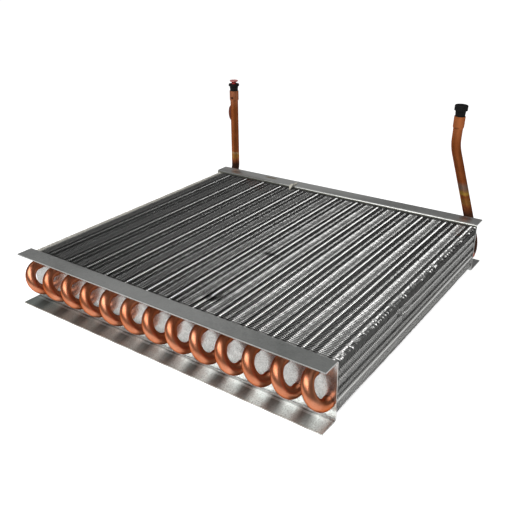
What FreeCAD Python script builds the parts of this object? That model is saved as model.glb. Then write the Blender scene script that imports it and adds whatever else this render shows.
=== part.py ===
import FreeCAD, Part
import math
import os
import Sketcher

# Finned condenser coil, in millimetres. X runs along the end plates, Y from the front plate, where the
# hairpins turn, to the rear plate, where the risers leave, and Z is up. The coil lies on its bottom
# flanges. The origin is on the floor, under the middle of the whole coil.

dimensions = {
    # End plates, folded from galvanised sheet; the gap is between the webs
    "plate_length": 331.7,
    "plate_height": 51.5,
    "plate_thickness": 1.2,
    "plate_gap": 281.3,
    "fold_radius": 1.0,
    "flange_width": 17.0,
    "front_bottom_flange": 19.2,
    "rear_bottom_flange": 28.0,
    "plate_hole_clearance": 0.2,
    # Tube pattern, two staggered rows
    "tubes_per_row": 13,
    "tube_pitch": 25.4,
    "row_pitch": 22.0,
    "lower_row_height": 15.1,
    "first_tube_inset": 8.2,
    # Hairpins, belled at the rear for the return bends and risers that are brazed into them
    "tube_diameter": 9.52,
    "tube_wall": 0.4,
    "bend_standoff": 3.6,
    "bell_standoff": 1.5,
    "bell_taper": 1.0,
    "bell_depth": 5.5,
    "braze_gap": 0.05,
    "seat_clearance": 0.2,
    "return_standoff": 0.3,
    # Fins, joined by their collars round the tubes
    "fin_width": 330.0,
    "fin_height": 44.0,
    "fin_inset": 1.3,
    "fin_lift": 5.0,
    "fin_pitch": 2.06,
    "fin_thickness": 0.2,
    "fin_end_gap": 0.3,
    "collar_wall": 0.3,
    "collar_clearance": 0.05,
    # Risers; reach is from the rear web to the riser's axis
    "riser_wall": 0.7,
    "riser_bell_taper": 2.0,
    "riser_bell_depth": 10.5,
    "inlet_reach": 27.0,
    "inlet_height": 97.9,
    "inlet_lean": 0.8,
    "outlet_reach": 24.0,
    "outlet_height": 111.0,
    "outlet_lean": -17.3,
    "outlet_turn": 19.5,
    "outlet_turn_radius": 45.0,
    "outlet_top_length": 9.8,
    # Rubber plugs in the risers, and the cap in the inlet's plug
    "plug_clearance": 0.1,
    "plug_depth": 8.0,
    "plug_tip_narrowing": 0.5,
    "plug_neck_flare": 0.4,
    "plug_neck": 5.5,
    "inlet_plug_rim": 3.0,
    "outlet_plug_rim": 5.5,
    "plug_rim_overhang": 1.3,
    "plug_edge": 0.5,
    "plug_bore": 5.6,
    "plug_bore_depth": 11.0,
    "cap_clearance": 0.1,
    "cap_stem": 8.0,
    "cap_neck": 1.8,
    "cap_diameter": 9.8,
    "cap_rim": 1.2,
    "cap_flare": 1.1,
    "cap_dish": 0.6,
}


class Size:
    """A number, and the expression that ties it to the sheet."""

    def __init__(self, value, text):
        self.value = value
        self.text = text

    def __add__(self, other):
        other = as_size(other)
        return Size(self.value + other.value, "(%s + %s)" % (self.text, other.text))

    def __radd__(self, other):
        return as_size(other) + self

    def __sub__(self, other):
        other = as_size(other)
        return Size(self.value - other.value, "(%s - %s)" % (self.text, other.text))

    def __rsub__(self, other):
        return as_size(other) - self

    def __mul__(self, other):
        other = as_size(other)
        return Size(self.value * other.value, "(%s * %s)" % (self.text, other.text))

    def __rmul__(self, other):
        return as_size(other) * self

    def __truediv__(self, other):
        other = as_size(other)
        return Size(self.value / other.value, "(%s / %s)" % (self.text, other.text))

    def __neg__(self):
        return -1 * self


def as_size(item):
    return item if isinstance(item, Size) else Size(float(item), repr(item))


def root(length):
    return Size(math.sqrt(length.value), "sqrt(%s)" % length.text)


def whole(number):
    return Size(math.floor(number.value), "floor(%s)" % number.text)


def sine(degrees):
    return Size(math.sin(math.radians(degrees.value)), "sin(%s * 1 deg)" % degrees.text)


def cosine(degrees):
    return Size(math.cos(math.radians(degrees.value)), "cos(%s * 1 deg)" % degrees.text)


def slope(rise, run):
    """The angle, in degrees, of a line that climbs rise over run."""
    value = math.degrees(math.atan(rise.value / run.value))
    return Size(value, "(atan(%s / %s) / 1 deg)" % (rise.text, run.text))


document = FreeCAD.newDocument("finned_condenser_coil")
sheet = document.addObject("Spreadsheet::Sheet", "Sizes")
for line, (alias, number) in enumerate(dimensions.items(), start=1):
    sheet.set("A%d" % line, str(number))
    sheet.setAlias("A%d" % line, alias)
document.recompute()


def size(alias):
    return Size(float(sheet.get(alias)), "Sizes." + alias)


def tie(item, path, value):
    item.setExpression(path, as_size(value).text)


def new_body(name):
    body = document.addObject("PartDesign::Body", name)
    body.Label = name
    return body


def place(body, x, y, z, tilt=None):
    """Puts a body at x, y, z, turned by tilt degrees about its own Y."""
    if tilt is not None:
        body.Placement = FreeCAD.Placement(
            FreeCAD.Vector(), FreeCAD.Rotation(FreeCAD.Vector(0, 1, 0), as_size(tilt).value)
        )
        tie(body, "Placement.Rotation.Angle", as_size(tilt) * Size(1, "1 deg"))
    tie(body, "Placement.Base.x", x)
    tie(body, "Placement.Base.y", y)
    tie(body, "Placement.Base.z", z)


def origin_plane(body, role):
    for feature in body.Origin.OriginFeatures:
        if feature.Role == role:
            return feature


def new_sketch(body, name, role, offset=None):
    """A sketch on one of the body's origin planes, or moved off it along the plane's normal."""
    sketch = body.newObject("Sketcher::SketchObject", name)
    sketch.AttachmentSupport = [(origin_plane(body, role), "")]
    sketch.MapMode = "FlatFace"
    if offset is not None:
        tie(sketch, "AttachmentOffset.Base.z", offset)
    return sketch


def hold(sketch, kind, *references, value):
    """A driving constraint, tied to the sheet."""
    number = sketch.addConstraint(Sketcher.Constraint(kind, *references, as_size(value).value))
    tie(sketch, "Constraints[%d]" % number, value)


def hold_point(sketch, edge, end, x, y):
    """Holds one end of an edge at x, y from the sketch's origin."""
    hold(sketch, "DistanceX", -1, 1, edge, end, value=x)
    hold(sketch, "DistanceY", -1, 1, edge, end, value=y)


def vector(x, y):
    return FreeCAD.Vector(as_size(x).value, as_size(y).value, 0)


def draw_outline(sketch, corners):
    """A closed outline of straight edges, with every corner held."""
    for start, end in zip(corners, corners[1:] + corners[:1]):
        sketch.addGeometry(Part.LineSegment(vector(*start), vector(*end)), False)
    for edge, corner in enumerate(corners):
        sketch.addConstraint(Sketcher.Constraint("Coincident", edge, 2, (edge + 1) % len(corners), 1))
        hold_point(sketch, edge, 1, *corner)


def draw_circles(sketch, x, y, *diameters):
    for diameter in diameters:
        circle = Part.Circle(vector(x, y), FreeCAD.Vector(0, 0, 1), as_size(diameter).value / 2)
        edge = sketch.addGeometry(circle, False)
        hold_point(sketch, edge, 3, x, y)
        hold(sketch, "Diameter", edge, value=diameter)


def draw_bend(sketch, start, turn_start, centre, turn_end, end, clockwise=False):
    """A run, an arc about centre and another run, end to end; start or end may be None."""
    first = vector(*turn_start) - vector(*centre)
    last = vector(*turn_end) - vector(*centre)
    angles = [math.atan2(first.y, first.x), math.atan2(last.y, last.x)]
    if clockwise:
        angles.reverse()
    if angles[1] <= angles[0]:
        angles[1] += 2 * math.pi
    circle = Part.Circle(vector(*centre), FreeCAD.Vector(0, 0, 1), first.Length)
    arc = sketch.addGeometry(Part.ArcOfCircle(circle, *angles), False)
    arc_start, arc_end = (2, 1) if clockwise else (1, 2)
    hold_point(sketch, arc, 3, *centre)
    hold_point(sketch, arc, arc_start, *turn_start)
    hold(sketch, "DistanceY", -1, 1, arc, arc_end, value=turn_end[1])
    if start is not None:
        run = sketch.addGeometry(Part.LineSegment(vector(*start), vector(*turn_start)), False)
        sketch.addConstraint(Sketcher.Constraint("Coincident", run, 2, arc, arc_start))
        hold_point(sketch, run, 1, *start)
    if end is not None:
        run = sketch.addGeometry(Part.LineSegment(vector(*turn_end), vector(*end)), False)
        sketch.addConstraint(Sketcher.Constraint("Coincident", run, 1, arc, arc_end))
        hold_point(sketch, run, 2, *end)


def add_pad(body, name, sketch, length):
    """A pad that reaches as far on both sides of its sketch."""
    pad = body.newObject("PartDesign::Pad", name)
    pad.Profile = sketch
    pad.SideType = "Symmetric"
    tie(pad, "Length", length)
    return pad


def add_pattern(body, name, feature, sketch, axis, length, count):
    pattern = body.newObject("PartDesign::LinearPattern", name)
    pattern.Originals = [feature]
    pattern.Direction = (sketch, [axis])
    tie(pattern, "Length", length)
    tie(pattern, "Occurrences", count)
    body.Tip = pattern
    return pattern


def add_pipe(body, name, profile, path):
    pipe = body.newObject("PartDesign::AdditivePipe", name)
    pipe.Profile = profile
    pipe.Spine = (path, [])
    body.Tip = pipe
    return pipe


def add_turned(body, name, sketch, axis):
    turned = body.newObject("PartDesign::Revolution", name)
    turned.Profile = sketch
    turned.ReferenceAxis = (sketch, [axis])
    turned.Angle = 360
    body.Tip = turned
    return turned


# Places that the pieces share. The two webs stand at plus and minus half the gap.
half_gap = size("plate_gap") / 2
bend_radius = root(size("row_pitch") * size("row_pitch") + size("tube_pitch") * size("tube_pitch") / 4) / 2
row_slope = slope(size("row_pitch"), size("tube_pitch") / 2)
upper_row_height = size("lower_row_height") + size("row_pitch")
middle_height = size("lower_row_height") + size("row_pitch") / 2
first_tube = size("first_tube_inset") - size("plate_length") / 2
last_tube = first_tube + size("tube_pitch") * (size("tubes_per_row") - 0.5)
row_length = size("tube_pitch") * (size("tubes_per_row") - 1)
bell_start = half_gap + size("plate_thickness") + size("bell_standoff")
bell_floor = bell_start + size("bell_taper")
bell_mouth = bell_floor + size("bell_depth")
bell_bore = size("tube_diameter") + 2 * size("braze_gap")
plug_rim_diameter = bell_bore + 2 * (size("plug_neck_flare") + size("plug_rim_overhang"))

# The origin lies midway between the hairpins' bends and the back of the inlet's plug
front_reach = half_gap + size("bend_standoff") + bend_radius + size("tube_diameter") / 2
rear_reach = half_gap + size("inlet_reach") + plug_rim_diameter / 2
middle = (front_reach - rear_reach) / 2


def end_plate(name, outward, bottom_flange):
    """A folded channel; outward is 1 where its flanges point along Y and -1 where they point back."""
    body = new_body(name)
    place(body, 0, middle + outward * half_gap, 0)
    sheet_gauge = size("plate_thickness")
    height = size("plate_height")
    top_flange = size("flange_width")
    section = new_sketch(body, name + "_section", "YZ_Plane")
    draw_outline(section, [
        (0, 0),
        (outward * bottom_flange, 0),
        (outward * bottom_flange, sheet_gauge),
        (outward * sheet_gauge, sheet_gauge),
        (outward * sheet_gauge, height - sheet_gauge),
        (outward * top_flange, height - sheet_gauge),
        (outward * top_flange, height),
        (0, height),
    ])
    folded = add_pad(body, name + "_channel", section, size("plate_length"))
    document.recompute()
    folds = [
        ("outer_folds", 0, 0, height, size("fold_radius") + sheet_gauge),
        ("inner_folds", outward * sheet_gauge, sheet_gauge, height - sheet_gauge, size("fold_radius")),
    ]
    for fold, y, low, high, radius in folds:
        edges = []
        for number, edge in enumerate(folded.Shape.Edges, start=1):
            middle_point = edge.CenterOfMass
            on_fold = any(abs(middle_point.z - as_size(level).value) < 0.001 for level in (low, high))
            along_plate = edge.Length > size("plate_length").value / 2
            if along_plate and on_fold and abs(middle_point.y - as_size(y).value) < 0.001:
                edges.append("Edge%d" % number)
        fillet = body.newObject("PartDesign::Fillet", name + "_" + fold)
        fillet.Base = (folded, edges)
        tie(fillet, "Radius", radius)
        document.recompute()
        folded = fillet
    hole = size("tube_diameter") + 2 * size("plate_hole_clearance")
    holes = new_sketch(body, name + "_holes", "XZ_Plane")
    draw_circles(holes, first_tube, upper_row_height, hole)
    draw_circles(holes, first_tube + size("tube_pitch") / 2, size("lower_row_height"), hole)
    pocket = body.newObject("PartDesign::Pocket", name + "_tube_holes")
    pocket.Profile = holes
    pocket.SideType = "Symmetric"
    tie(pocket, "Length", 4 * sheet_gauge)
    add_pattern(body, name + "_hole_rows", pocket, holes, "H_Axis", row_length, size("tubes_per_row"))
    return body


def fin_pack():
    """Thin fins at their real pitch, standing out all round from the block that their collars make."""
    body = new_body("fin_pack")
    place(body, 0, middle, 0)
    gauge = size("fin_thickness")
    room = size("plate_gap") - 2 * size("fin_end_gap") - gauge
    gaps = whole(room / size("fin_pitch"))
    stack = gaps * size("fin_pitch")
    collar = size("tube_diameter") / 2 + size("collar_clearance") + size("collar_wall")
    stagger = size("tube_pitch") / 2
    low = size("lower_row_height")
    high = upper_row_height
    left = first_tube - collar
    right = first_tube + row_length + collar
    core = new_sketch(body, "collar_outline", "XZ_Plane")
    draw_outline(core, [
        (left + stagger, low - collar),
        (right + stagger, low - collar),
        (right + stagger, low + collar),
        (right, high - collar),
        (right, high + collar),
        (left, high + collar),
        (left, high - collar),
        (left + stagger, low + collar),
    ])
    add_pad(body, "collars", core, stack + gauge)
    fin_left = size("fin_inset") - size("plate_length") / 2
    fin_right = fin_left + size("fin_width")
    fin_top = size("fin_lift") + size("fin_height")
    outline = new_sketch(body, "fin_outline", "XZ_Plane", stack / 2)
    draw_outline(outline, [
        (fin_left, size("fin_lift")),
        (fin_right, size("fin_lift")),
        (fin_right, fin_top),
        (fin_left, fin_top),
    ])
    fin = add_pad(body, "fin", outline, gauge)
    add_pattern(body, "fins", fin, outline, "N_Axis", stack, gaps + 1).Reversed = True
    bore = size("tube_diameter") + 2 * size("collar_clearance")
    bores = new_sketch(body, "tube_bores", "XZ_Plane")
    draw_circles(bores, first_tube, high, bore)
    draw_circles(bores, first_tube + stagger, low, bore)
    pocket = body.newObject("PartDesign::Pocket", "tube_pockets")
    pocket.Profile = bores
    pocket.SideType = "Symmetric"
    tie(pocket, "Length", stack + 2 * size("fin_pitch"))
    add_pattern(body, "tube_rows", pocket, bores, "H_Axis", row_length, size("tubes_per_row"))
    return body


def belled_end(body, name, sketch, axis_x, axis_y, lean, outer, wall, taper, depth):
    """A tube's end opened into a socket, turned about a line through axis_x, axis_y; lean is from the
    sketch's vertical, in degrees."""
    across = cosine(as_size(lean))
    along = sine(as_size(lean))

    def corner(radius, height):
        return (
            axis_x + radius * across + height * along,
            axis_y - radius * along + height * across,
        )

    inner = outer / 2 - wall
    socket = bell_bore / 2
    draw_outline(sketch, [
        corner(inner, as_size(0)),
        corner(outer / 2, as_size(0)),
        corner(socket + wall, taper),
        corner(socket + wall, taper + depth),
        corner(socket, taper + depth),
        corner(socket, taper),
    ])
    tip = corner(as_size(0), taper + depth)
    axis = sketch.addGeometry(Part.LineSegment(vector(axis_x, axis_y), vector(*tip)), True)
    hold_point(sketch, axis, 1, axis_x, axis_y)
    hold_point(sketch, axis, 2, *tip)
    return add_turned(body, name, sketch, "Axis0")


def hairpin(place_in_row):
    """A tube bent back on itself, with a leg in each row and both ends belled."""
    name = "hairpin_%02d" % (place_in_row + 1)
    body = new_body(name)
    centre = first_tube + size("tube_pitch") * (as_size(place_in_row) + 0.25)
    place(body, centre, middle, middle_height, row_slope)
    outer = size("tube_diameter")
    bend_start = -half_gap - size("bend_standoff")
    path = new_sketch(body, name + "_path", "XY_Plane")
    draw_bend(
        path,
        (-bend_radius, bell_start),
        (-bend_radius, bend_start),
        (as_size(0), bend_start),
        (bend_radius, bend_start),
        (bend_radius, bell_start),
    )
    ring = new_sketch(body, name + "_ring", "XZ_Plane", -bell_start)
    draw_circles(ring, -bend_radius, 0, outer, outer - 2 * size("tube_wall"))
    add_pipe(body, name + "_tube", ring, path)
    for side, leg in ((-1, "upper"), (1, "lower")):
        bell = new_sketch(body, "%s_%s_bell_outline" % (name, leg), "XY_Plane")
        belled_end(
            body, "%s_%s_bell" % (name, leg), bell, side * bend_radius, bell_start, 0,
            outer, size("tube_wall"), size("bell_taper"), size("bell_depth"),
        )
    return body


def return_bend(place_in_row):
    """The bend brazed between a hairpin's lower leg and the next one's upper leg."""
    name = "return_bend_%02d" % (place_in_row + 1)
    body = new_body(name)
    centre = first_tube + size("tube_pitch") * (as_size(place_in_row) + 0.75)
    place(body, centre, middle, middle_height, -row_slope)
    outer = size("tube_diameter")
    seat = bell_floor + size("seat_clearance")
    bend_start = bell_mouth + size("return_standoff")
    path = new_sketch(body, name + "_path", "XY_Plane")
    draw_bend(
        path,
        (bend_radius, seat),
        (bend_radius, bend_start),
        (as_size(0), bend_start),
        (-bend_radius, bend_start),
        (-bend_radius, seat),
    )
    ring = new_sketch(body, name + "_ring", "XZ_Plane", -seat)
    draw_circles(ring, bend_radius, 0, outer, outer - 2 * size("tube_wall"))
    add_pipe(body, name + "_tube", ring, path)
    return body


def riser(name, tube_x, tube_z, reach, height, lean):
    """A tube from the socket of a hairpin's leg, turned up behind the rear plate."""
    body = new_body(name)
    place(body, tube_x, middle, tube_z, lean)
    outer = size("tube_diameter")
    seat = bell_floor + size("seat_clearance")
    axis_y = half_gap + reach
    turn_start = bell_mouth + size("return_standoff")
    elbow = axis_y - turn_start
    path = new_sketch(body, name + "_path", "YZ_Plane")
    draw_bend(
        path,
        (seat, as_size(0)),
        (turn_start, as_size(0)),
        (turn_start, elbow),
        (axis_y, elbow),
        (axis_y, height),
    )
    ring = new_sketch(body, name + "_ring", "XZ_Plane", -seat)
    draw_circles(ring, 0, 0, outer, outer - 2 * size("riser_wall"))
    add_pipe(body, name + "_tube", ring, path)
    return body, axis_y


def riser_bell(body, name, axis_y, x, z, lean):
    bell = new_sketch(body, name + "_bell_outline", "XZ_Plane", -axis_y)
    belled_end(
        body, name + "_bell", bell, x, z, lean,
        size("tube_diameter"), size("riser_wall"), size("riser_bell_taper"), size("riser_bell_depth"),
    )


def inlet_riser():
    name = "inlet_riser"
    height = size("inlet_height")
    body, axis_y = riser(name, first_tube, upper_row_height, size("inlet_reach"), height, size("inlet_lean"))
    riser_bell(body, name, axis_y, as_size(0), height, 0)
    mouth = height + size("riser_bell_taper") + size("riser_bell_depth")
    return body, axis_y, as_size(0), mouth


def outlet_riser():
    """Like the inlet's, with a second, gentle bend that brings its leaning run upright."""
    name = "outlet_riser"
    turn = size("outlet_turn")
    radius = size("outlet_turn_radius")
    tangent = radius * sine(turn / 2) / cosine(turn / 2)
    turn_start = size("outlet_height") - tangent
    body, axis_y = riser(
        name, last_tube, size("lower_row_height"), size("outlet_reach"), turn_start, size("outlet_lean")
    )
    turn_end = (radius - radius * cosine(turn), turn_start + radius * sine(turn))
    bell_base = (
        turn_end[0] + size("outlet_top_length") * sine(turn),
        turn_end[1] + size("outlet_top_length") * cosine(turn),
    )
    path = new_sketch(body, name + "_top_path", "XZ_Plane", -axis_y)
    draw_bend(path, None, (as_size(0), turn_start), (radius, turn_start), turn_end, bell_base, clockwise=True)
    ring = new_sketch(body, name + "_top_ring", "XY_Plane", turn_start)
    outer = size("tube_diameter")
    draw_circles(ring, 0, axis_y, outer, outer - 2 * size("riser_wall"))
    add_pipe(body, name + "_top", ring, path)
    riser_bell(body, name, axis_y, bell_base[0], bell_base[1], turn)
    bell = size("riser_bell_taper") + size("riser_bell_depth")
    return body, axis_y, bell_base[0] + bell * sine(turn), bell_base[1] + bell * cosine(turn)


def plug(name, rim):
    """A rubber stopper with a blind bore; its own origin is at the riser's mouth."""
    body = new_body(name)
    seat = bell_bore / 2 - size("plug_clearance")
    neck = bell_bore / 2 + size("plug_neck_flare")
    wide = neck + size("plug_rim_overhang")
    top = size("plug_neck") + rim
    edge = size("plug_edge")
    hollow = size("plug_bore") / 2
    section = new_sketch(body, name + "_section", "XZ_Plane")
    draw_outline(section, [
        (as_size(0), -size("plug_depth")),
        (seat - size("plug_tip_narrowing"), -size("plug_depth")),
        (seat, as_size(0)),
        (neck, size("plug_neck")),
        (wide, size("plug_neck") + edge),
        (wide, top - edge),
        (wide - edge, top),
        (hollow, top),
        (hollow, top - size("plug_bore_depth")),
        (as_size(0), top - size("plug_bore_depth")),
    ])
    add_turned(body, name + "_stopper", section, "V_Axis")
    return body


def cap():
    """A dished button on a stem that pushes into the inlet plug's bore."""
    body = new_body("inlet_cap")
    stem = size("plug_bore") / 2 - size("cap_clearance")
    wide = size("cap_diameter") / 2
    under = size("cap_neck") + size("cap_flare")
    top = under + size("cap_rim")
    section = new_sketch(body, "inlet_cap_section", "XZ_Plane")
    draw_outline(section, [
        (as_size(0), -size("cap_stem")),
        (stem, -size("cap_stem")),
        (stem, size("cap_neck")),
        (wide, under),
        (wide, top),
        (stem, top - size("cap_dish")),
        (as_size(0), top - size("cap_dish")),
    ])
    add_turned(body, "inlet_cap_button", section, "V_Axis")
    return body


def set_on_riser(body, tube_x, tube_z, axis_y, x, z, lean, turn):
    """Puts a piece at x, z of a riser that leans about its tube, along the riser's last direction."""
    place(
        body,
        tube_x + x * cosine(lean) + z * sine(lean),
        middle + axis_y,
        tube_z - x * sine(lean) + z * cosine(lean),
        lean + turn,
    )


tubes_per_row = int(size("tubes_per_row").value)
bodies = [
    end_plate("front_end_plate", -1, size("front_bottom_flange")),
    end_plate("rear_end_plate", 1, size("rear_bottom_flange")),
    fin_pack(),
]
bodies += [hairpin(number) for number in range(tubes_per_row)]
bodies += [return_bend(number) for number in range(tubes_per_row - 1)]

inlet, inlet_y, inlet_x, inlet_z = inlet_riser()
inlet_plug = plug("inlet_plug", size("inlet_plug_rim"))
set_on_riser(inlet_plug, first_tube, upper_row_height, inlet_y, inlet_x, inlet_z, size("inlet_lean"), 0)
inlet_cap = cap()
cap_z = inlet_z + size("plug_neck") + size("inlet_plug_rim")
set_on_riser(inlet_cap, first_tube, upper_row_height, inlet_y, inlet_x, cap_z, size("inlet_lean"), 0)

outlet, outlet_y, outlet_x, outlet_z = outlet_riser()
outlet_plug = plug("outlet_plug", size("outlet_plug_rim"))
set_on_riser(
    outlet_plug, last_tube, size("lower_row_height"), outlet_y, outlet_x, outlet_z,
    size("outlet_lean"), size("outlet_turn"),
)
bodies += [inlet, inlet_plug, inlet_cap, outlet, outlet_plug]

document.recompute()
for item in document.Objects:
    if "Invalid" in item.State or "Error" in item.State:
        raise RuntimeError("%s failed: %s" % (item.Name, item.State))
for body in bodies:
    if body.Shape.isNull() or not body.Shape.isValid() or len(body.Shape.Solids) != 1:
        raise RuntimeError("%s has no single valid solid" % body.Label)

os.makedirs("parts", exist_ok=True)
for body in bodies:
    body.Shape.exportStep("parts/%s.step" % body.Label)
    print("%-18s %9.1f mm3" % (body.Label, body.Shape.Volume))
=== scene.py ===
import math
import random
import bpy
import numpy as np
from mathutils import Matrix, Vector, geometry, noise


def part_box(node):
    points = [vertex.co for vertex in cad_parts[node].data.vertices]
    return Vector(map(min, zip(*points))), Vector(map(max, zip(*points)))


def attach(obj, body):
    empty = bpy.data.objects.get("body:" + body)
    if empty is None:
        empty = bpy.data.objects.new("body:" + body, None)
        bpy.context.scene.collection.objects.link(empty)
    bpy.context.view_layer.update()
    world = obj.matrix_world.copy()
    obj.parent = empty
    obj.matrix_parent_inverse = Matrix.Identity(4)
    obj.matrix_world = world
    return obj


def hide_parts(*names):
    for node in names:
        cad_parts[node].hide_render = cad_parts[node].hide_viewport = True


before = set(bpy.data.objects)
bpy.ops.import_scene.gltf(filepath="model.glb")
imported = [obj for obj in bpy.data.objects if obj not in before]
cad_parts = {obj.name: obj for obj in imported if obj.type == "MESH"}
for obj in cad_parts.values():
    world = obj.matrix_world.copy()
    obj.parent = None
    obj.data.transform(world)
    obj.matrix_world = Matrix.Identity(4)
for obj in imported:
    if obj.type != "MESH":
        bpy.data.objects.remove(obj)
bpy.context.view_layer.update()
print("frame loaded:", len(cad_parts), "nodes")

# Lengths in the dictionaries are in millimetres, in the part's own frame: X along the end plates,
# Y from the front plate to the rear one, Z up. Blender's are in metres, hence the divisions by 1000.
# The photograph was taken from the front right.


def addMesh(name, points, faces, material, smooth=False):
    mesh = bpy.data.meshes.new(name)
    mesh.from_pydata([tuple(c / 1000 for c in p) for p in points], [], faces)
    mesh.polygons.foreach_set("use_smooth", [smooth] * len(mesh.polygons))
    mesh.materials.append(material)
    mesh.validate()
    piece = bpy.data.objects.new(name, mesh)
    bpy.context.scene.collection.objects.link(piece)
    return piece


def addNode(tree, kind, **settings):
    node = tree.nodes.new(kind)
    for name, value in settings.items():
        setattr(node, name, value)
    return node


def feed(tree, socket, value):
    if isinstance(value, bpy.types.NodeSocket):
        tree.links.new(value, socket)
    else:
        socket.default_value = value


def newMaterial(name, values):
    material = bpy.data.materials.new(name)
    material.use_nodes = True
    tree = material.node_tree
    shader = tree.nodes["Principled BSDF"]
    for title, value in values.items():
        shader.inputs[title].default_value = value
    return material, tree, shader


def newGroup(name, inputs, outputs):
    group = bpy.data.node_groups.new(name, "ShaderNodeTree")
    for title, kind, value in inputs:
        socket = group.interface.new_socket(title, in_out="INPUT", socket_type="NodeSocket" + kind)
        socket.default_value = value
    for title, kind in outputs:
        group.interface.new_socket(title, in_out="OUTPUT", socket_type="NodeSocket" + kind)
    return group, addNode(group, "NodeGroupInput").outputs, addNode(group, "NodeGroupOutput").inputs


def useGroup(tree, group, place, values):
    node = addNode(tree, "ShaderNodeGroup", node_tree=group)
    tree.links.new(place, node.inputs["Place"])
    for title, value in values.items():
        node.inputs[title].default_value = value
    return node.outputs


def maths(tree, operation, first, second=None, clamp=False):
    node = addNode(tree, "ShaderNodeMath", operation=operation, use_clamp=clamp)
    feed(tree, node.inputs[0], first)
    if second is not None:
        feed(tree, node.inputs[1], second)
    return node.outputs[0]


def product(tree, first, *others):
    for other in others:
        first = maths(tree, "MULTIPLY", first, other)
    return first


def addShare(tree, total, value, share, clamp=False):
    return maths(tree, "ADD", total, product(tree, value, share), clamp=clamp)


def vectorMaths(tree, operation, *vectors):
    node = addNode(tree, "ShaderNodeVectorMath", operation=operation)
    for socket, vector in zip(node.inputs, vectors):
        tree.links.new(vector, socket)
    return node.outputs["Value" if operation == "LENGTH" else "Vector"]


def mixColours(tree, factor, first, second):
    node = addNode(tree, "ShaderNodeMix", data_type="RGBA")
    for socket, value in ((node.inputs[0], factor), (node.inputs[6], first), (node.inputs[7], second)):
        feed(tree, socket, value)
    return node.outputs[2]


def mixNumbers(tree, factor, first, second):
    node = addNode(tree, "ShaderNodeMix", data_type="FLOAT")
    for socket, value in ((node.inputs[0], factor), (node.inputs[2], first), (node.inputs[3], second)):
        feed(tree, socket, value)
    return node.outputs[0]


def ramp(tree, value, span, results=(0.0, 1.0)):
    node = addNode(tree, "ShaderNodeMapRange", clamp=True)
    tree.links.new(value, node.inputs["Value"])
    for title, stop in zip(("From Min", "From Max", "To Min", "To Max"), (*span, *results)):
        node.inputs[title].default_value = stop
    return node.outputs["Result"]


def rampAlong(tree, length, span, results=(0.0, 1.0)):
    return ramp(tree, length, (span[0] / 1000, span[1] / 1000), results)


def between(tree, length, start, end, fade):
    rise = rampAlong(tree, length, (start - fade, start))
    return product(tree, rise, rampAlong(tree, length, (end, end + fade), (1.0, 0.0)))


# A range in such an area is its start, its end and how far it fades beyond them
def region(tree, axes, area):
    ranges = [(axis, area[name]) for axis, name in zip(axes, "xyz") if name in area]
    return product(tree, *(between(tree, axis, *limits) for axis, limits in ranges))


def noiseOf(tree, place, scale, detail, roughness):
    node = addNode(tree, "ShaderNodeTexNoise")
    tree.links.new(place, node.inputs["Vector"])
    for title, value in (("Scale", scale), ("Detail", detail), ("Roughness", roughness)):
        feed(tree, node.inputs[title], value)
    return node.outputs["Fac"]


def centred(tree, value):
    return maths(tree, "SUBTRACT", value, 0.5)


def objectPlace(tree):
    return addNode(tree, "ShaderNodeTexCoord").outputs["Object"]


def axesOf(tree, vector):
    node = addNode(tree, "ShaderNodeSeparateXYZ")
    tree.links.new(vector, node.inputs[0])
    return node.outputs


# Cloudy patches and fine grain, for materials that have been handled
weather, given, wanted = newGroup(
    "weather",
    [("Place", "Vector", (0, 0, 0)), ("Patch Scale", "Float", 40.0), ("Grain Scale", "Float", 900.0),
     ("Contrast", "Float", 1.0)],
    [("Patches", "Float"), ("Grain", "Float")],
)
for title, scaleName, detail in (("Patches", "Patch Scale", 4.0), ("Grain", "Grain Scale", 2.0)):
    cloud = noiseOf(weather, given["Place"], given[scaleName], detail, roughness=0.5)
    spread = product(weather, centred(weather, cloud), given["Contrast"])
    weather.links.new(maths(weather, "ADD", spread, 0.5, clamp=True), wanted[title])


def wear(tree, place, look):
    return useGroup(tree, weather, place, {
        "Patch Scale": look["patchScale"], "Grain Scale": look["grainScale"], "Contrast": look["contrast"],
    })


# A ragged spot at one place, such as a stain or a scorch, or painted light or shade such as a dimple's shade, a
# fold's highlight or a reflection. It is gone at one share of its reach and full at another, and noise sways
# that edge.
spotEdge = {"goneAndFull": (1.0, 0.45), "sway": 3.0, "detail": 4.0}
spotDefaults = {"raggedness": 0.5, "grain": 500.0, "strength": 1.0}
raggedSpot, given, wanted = newGroup(
    "raggedSpot",
    [("Place", "Vector", (0, 0, 0)), ("Centre", "Vector", (0, 0, 0)), ("Reach", "Vector", (0.01, 0.01, 0.01)),
     ("Raggedness", "Float", 0.5), ("Grain", "Float", 500.0)],
    [("Mask", "Float")],
)
away = vectorMaths(raggedSpot, "SUBTRACT", given["Place"], given["Centre"])
distance = vectorMaths(raggedSpot, "LENGTH", vectorMaths(raggedSpot, "DIVIDE", away, given["Reach"]))
ragged = noiseOf(raggedSpot, given["Place"], given["Grain"], spotEdge["detail"], roughness=0.5)
sway = product(raggedSpot, given["Raggedness"], spotEdge["sway"])
swayed = addShare(raggedSpot, distance, centred(raggedSpot, ragged), sway)
raggedSpot.links.new(ramp(raggedSpot, swayed, spotEdge["goneAndFull"]), wanted["Mask"])


def addRaggedSpot(tree, place, spot):
    spot = {**spotDefaults, **spot}
    mask = useGroup(tree, raggedSpot, place, {
        "Centre": Vector(spot["centre"]) / 1000, "Reach": Vector(spot["reach"]) / 1000,
        "Raggedness": spot["raggedness"], "Grain": spot["grain"],
    })["Mask"]
    return product(tree, mask, spot["strength"])


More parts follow.
